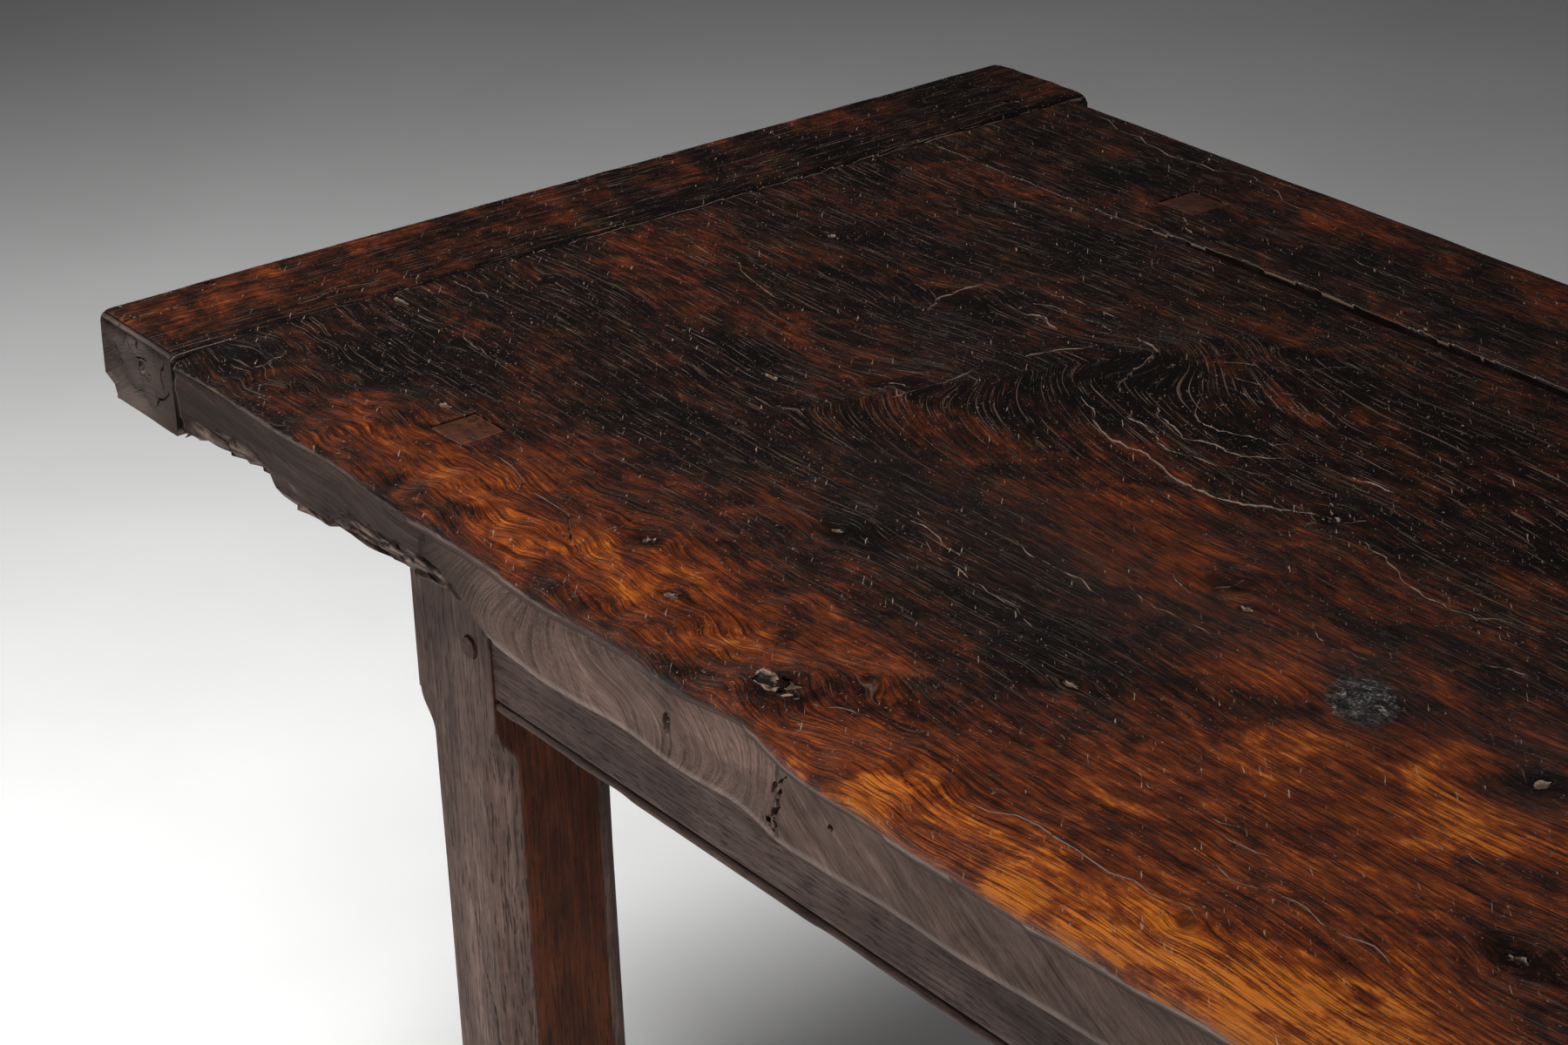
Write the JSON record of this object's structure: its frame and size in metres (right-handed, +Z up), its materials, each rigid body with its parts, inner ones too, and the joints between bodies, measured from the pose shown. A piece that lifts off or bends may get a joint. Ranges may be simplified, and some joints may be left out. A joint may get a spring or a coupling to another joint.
{
  "type": "farmhouse table",
  "caption": "Long plank-topped table with cleated ends, waney worn front edge, square legs with stopped chamfers and beaded rails in pegged joints.",
  "frame": {"origin": "on the floor, under the middle of the table's box", "axes": "+X along the table to the right, +Y across it to the back, +Z up"},
  "size_m": [2.11, 0.811, 0.765],
  "materials": {
    "top_boards": "dark waxed elm with amber worn edges",
    "cleats": "dark waxed wood",
    "legs": "matte grey-brown oak",
    "rails": "matte grey-brown oak",
    "pegs": "matte oak"
  },
  "bodies": {
    "root": {"main_board": "top_boards", "back_board": "top_boards", "left_cleat": "cleats", "right_cleat": "cleats", "leg_front_left": "legs", "leg_front_right": "legs", "leg_back_left": "legs", "leg_back_right": "legs", "front_rail": "rails", "back_rail": "rails", "left_end_rail": "rails", "right_end_rail": "rails", "cross_rail": "rails", "board_tenons": "pegs", "board_tenon_pegs": "pegs", "left_cleat_pegs": "pegs", "right_cleat_pegs": "pegs", "front_rail_pegs": "pegs", "back_rail_pegs": "pegs", "left_end_rail_pegs": "pegs", "right_end_rail_pegs": "pegs"}
  },
  "joints": []
}
